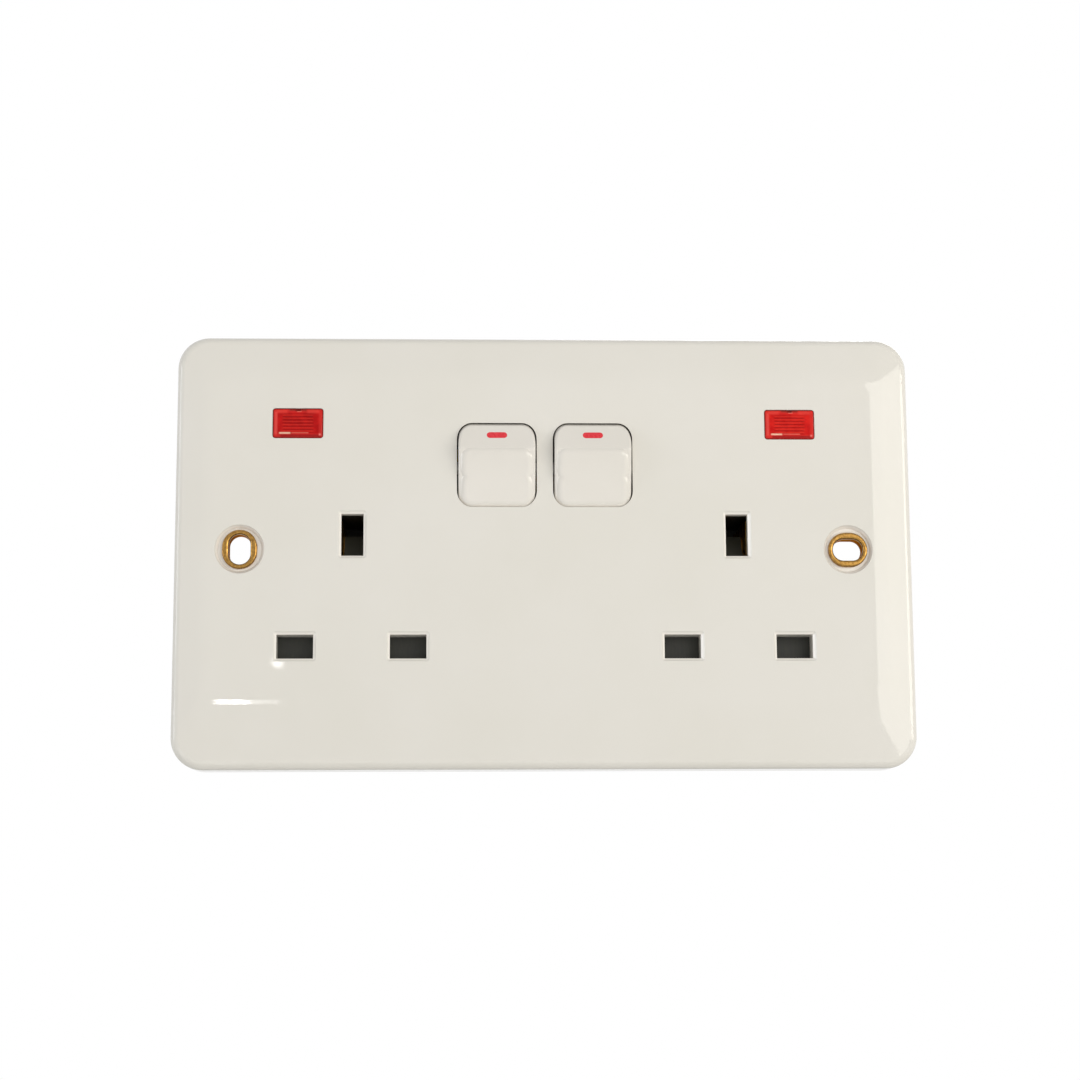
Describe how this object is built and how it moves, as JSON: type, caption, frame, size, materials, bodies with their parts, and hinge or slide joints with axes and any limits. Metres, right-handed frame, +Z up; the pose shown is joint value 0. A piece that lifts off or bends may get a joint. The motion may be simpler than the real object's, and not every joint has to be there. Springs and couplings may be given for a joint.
{
  "type": "twin switched socket outlet",
  "caption": "Wide moulded wall plate with paired switched mains outlets: rockers, shuttered pin slots, red neon windows, and a rear housing with brass contacts and terminals.",
  "frame": {"origin": "centre of the plate's flat rear rim, on the line of the fixing holes", "axes": "+X right as seen from the room, +Y into the wall, +Z up"},
  "size_m": [0.1466, 0.0321, 0.0866],
  "materials": {
    "plate_moulding": "gloss cream-white thermoset moulding",
    "rocker_moulding": "gloss cream-white moulding",
    "housing_moulding": "matt black thermoset moulding",
    "shutter_moulding": "dark grey moulding",
    "lens_red": "clear red moulding with prism ribs",
    "flag_red": "red inlay",
    "bulb_glass": "clear glass",
    "resistor_body": "lacquered ceramic",
    "eyelet_brass": "rolled sheet brass",
    "contact_brass": "pressed sheet brass",
    "screw_brass": "turned brass",
    "screw_steel": "zinc-plated steel",
    "spring_steel": "drawn spring wire",
    "plunger_nylon": "natural nylon"
  },
  "bodies": {
    "main": {"face_plate": "plate_moulding", "rear_housing": "housing_moulding", "eyelet_left": "eyelet_brass", "neon_lens_left": "lens_red", "neon_bulb_left": "bulb_glass", "neon_resistor_left": "resistor_body", "live_contact_left": "contact_brass", "neutral_contact_left": "contact_brass", "earth_contact_left": "contact_brass", "shutter_spring_left": "spring_steel", "eyelet_right": "eyelet_brass", "neon_lens_right": "lens_red", "neon_bulb_right": "bulb_glass", "neon_resistor_right": "resistor_body", "live_contact_right": "contact_brass", "neutral_contact_right": "contact_brass", "earth_contact_right": "contact_brass", "shutter_spring_right": "spring_steel", "live_bar": "contact_brass", "neutral_bar": "contact_brass", "earth_bar": "contact_brass", "live_terminal": "contact_brass", "neutral_terminal": "contact_brass", "earth_terminal": "contact_brass", "terminal_screws": "screw_brass", "housing_screws": "screw_steel"},
    "rocker_left": {"rocker_left": "rocker_moulding", "on_flag_left": "flag_red", "plunger_spring_left": "spring_steel"},
    "plunger_left": {"plunger_left": "plunger_nylon"},
    "rocking_contact_left": {"rocking_contact_left": "contact_brass"},
    "shutter_left": {"shutter_left": "shutter_moulding"},
    "rocker_right": {"rocker_right": "rocker_moulding", "on_flag_right": "flag_red", "plunger_spring_right": "spring_steel"},
    "plunger_right": {"plunger_right": "plunger_nylon"},
    "rocking_contact_right": {"rocking_contact_right": "contact_brass"},
    "shutter_right": {"shutter_right": "shutter_moulding"}
  },
  "joints": [
    {"name": "rocker_left_hinge", "type": "hinge", "parent": "main", "child": "rocker_left", "pos_m": [-0.00955, -0.005, 0.017], "axis": [1, 0, 0], "range_deg": [-13, 0]},
    {"name": "rocking_contact_left_hinge", "type": "hinge", "parent": "main", "child": "rocking_contact_left", "pos_m": [-0.00955, 0.0084, 0.017], "axis": [1, 0, 0], "range_deg": [0, 13]},
    {"name": "plunger_left_slide", "type": "slide", "parent": "rocker_left", "child": "plunger_left", "axis": [0, 0.9936, 0.1132], "range_m": [-0.0015, 0], "stiffness_N_per_m": 150, "springref_m": 0.001, "deforming": ["plunger_spring_left"]},
    {"name": "shutter_left_slide", "type": "slide", "parent": "main", "child": "shutter_left", "axis": [0, 0, -1], "range_m": [0, 0.0054], "stiffness_N_per_m": 60, "springref_m": -0.004, "deforming": ["shutter_spring_left"]},
    {"name": "rocker_right_hinge", "type": "hinge", "parent": "main", "child": "rocker_right", "pos_m": [0.00955, -0.005, 0.017], "axis": [1, 0, 0], "range_deg": [-13, 0]},
    {"name": "rocking_contact_right_hinge", "type": "hinge", "parent": "main", "child": "rocking_contact_right", "pos_m": [0.00955, 0.0084, 0.017], "axis": [1, 0, 0], "range_deg": [0, 13]},
    {"name": "plunger_right_slide", "type": "slide", "parent": "rocker_right", "child": "plunger_right", "axis": [0, 0.9936, 0.1132], "range_m": [-0.0015, 0], "stiffness_N_per_m": 150, "springref_m": 0.001, "deforming": ["plunger_spring_right"]},
    {"name": "shutter_right_slide", "type": "slide", "parent": "main", "child": "shutter_right", "axis": [0, 0, -1], "range_m": [0, 0.0054], "stiffness_N_per_m": 60, "springref_m": -0.004, "deforming": ["shutter_spring_right"]}
  ],
  "couplings": [
    {"joint": "rocking_contact_left_hinge", "follows": "rocker_left_hinge", "ratio": -1},
    {"joint": "rocking_contact_right_hinge", "follows": "rocker_right_hinge", "ratio": -1}
  ]
}
